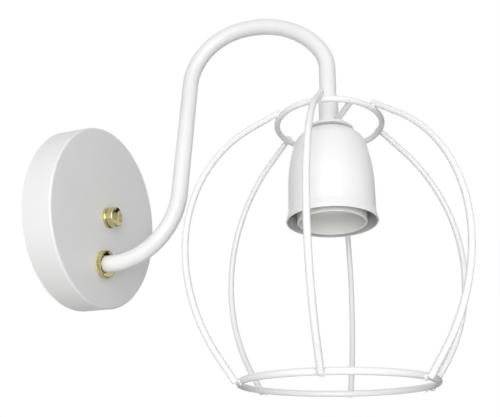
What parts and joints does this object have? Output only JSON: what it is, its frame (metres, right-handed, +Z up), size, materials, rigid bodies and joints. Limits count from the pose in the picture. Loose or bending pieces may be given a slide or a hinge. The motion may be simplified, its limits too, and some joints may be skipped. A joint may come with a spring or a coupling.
{
  "type": "cage wall light",
  "caption": "Wall light with a round canopy, a swan-neck tube arm and a bell cup with a screw lampholder inside an open cage of welded wire.",
  "frame": {"origin": "centre of the canopy's back, on the wall", "axes": "+Y into the wall, +Z up; the light stands out towards -Y and its arm lies in the plane x = 0"},
  "size_m": [0.1606, 0.2336, 0.2315],
  "materials": {
    "powder_coat": "white powder coat, semi-gloss, slight orange peel",
    "zinc_steel": "zinc-plated steel, satin",
    "polished_brass": "polished brass, lacquered",
    "contact_brass": "drawn brass sheet, bright",
    "shell_plating": "nickel-plated brass sheet, dull",
    "holder_white": "white moulded thermoset, gloss",
    "steatite": "cream ceramic, matt",
    "bush_plastic": "black nylon",
    "connector_plastic": "natural nylon",
    "live_insulation": "brown insulation, satin",
    "neutral_insulation": "blue insulation, satin"
  },
  "bodies": {
    "wall_side": {"wall_bracket": "zinc_steel", "fixing_stud": "zinc_steel", "stud_nut": "zinc_steel", "canopy": "powder_coat"},
    "cap_washer": {"cap_washer": "polished_brass"},
    "cap_nut": {"cap_nut": "polished_brass"},
    "arm": {"arm_tube": "powder_coat", "arm_ring_nut": "polished_brass", "arm_washer": "zinc_steel", "arm_lock_nut": "zinc_steel", "tail_bush": "bush_plastic", "live_lead": "live_insulation", "neutral_lead": "neutral_insulation", "terminal_block": "connector_plastic", "terminal_screws": "zinc_steel", "tube_collar": "powder_coat", "threaded_nipple": "zinc_steel", "lamp_cup": "powder_coat", "cup_lock_nut": "zinc_steel", "holder_cap": "holder_white", "holder_skirt": "holder_white", "thread_sleeve": "shell_plating", "holder_block": "steatite", "holder_terminals": "contact_brass", "holder_screws": "zinc_steel", "side_contact": "contact_brass"},
    "cage": {"cage_hub": "powder_coat", "top_ring": "powder_coat", "bottom_ring": "powder_coat", "spoke_1": "powder_coat", "spoke_2": "powder_coat", "rib_1": "powder_coat", "rib_2": "powder_coat", "rib_3": "powder_coat", "rib_4": "powder_coat", "rib_5": "powder_coat", "rib_6": "powder_coat"},
    "contact_tongue": {"centre_contact": "contact_brass"}
  },
  "joints": [
    {"name": "arm_swivel", "type": "hinge", "parent": "wall_side", "child": "arm", "pos_m": [0, -0.0185, -0.03], "axis": [0, -1, 0], "range_deg": [-45, 45]},
    {"name": "cage_spin", "type": "hinge", "parent": "arm", "child": "cage", "pos_m": [0, -0.16, 0.036], "axis": [0, 0, 1], "continuous": true},
    {"name": "cap_washer_slide", "type": "slide", "parent": "wall_side", "child": "cap_washer", "axis": [0, -1, 0], "range_m": [0, 0.002]},
    {"name": "cap_nut_turn", "type": "hinge", "parent": "cap_washer", "child": "cap_nut", "pos_m": [0, -0.02, 0], "axis": [0, -1, 0], "range_deg": [0, 720]},
    {"name": "contact_press", "type": "hinge", "parent": "arm", "child": "contact_tongue", "pos_m": [-0.007, -0.16, 0.00915], "axis": [0, -1, 0], "range_deg": [0, 8], "stiffness_Nm_per_rad": 0.1}
  ],
  "couplings": [
    {"joint": "cap_nut_turn", "follows": "cap_washer_slide", "rad_per_m": 6283.2}
  ]
}
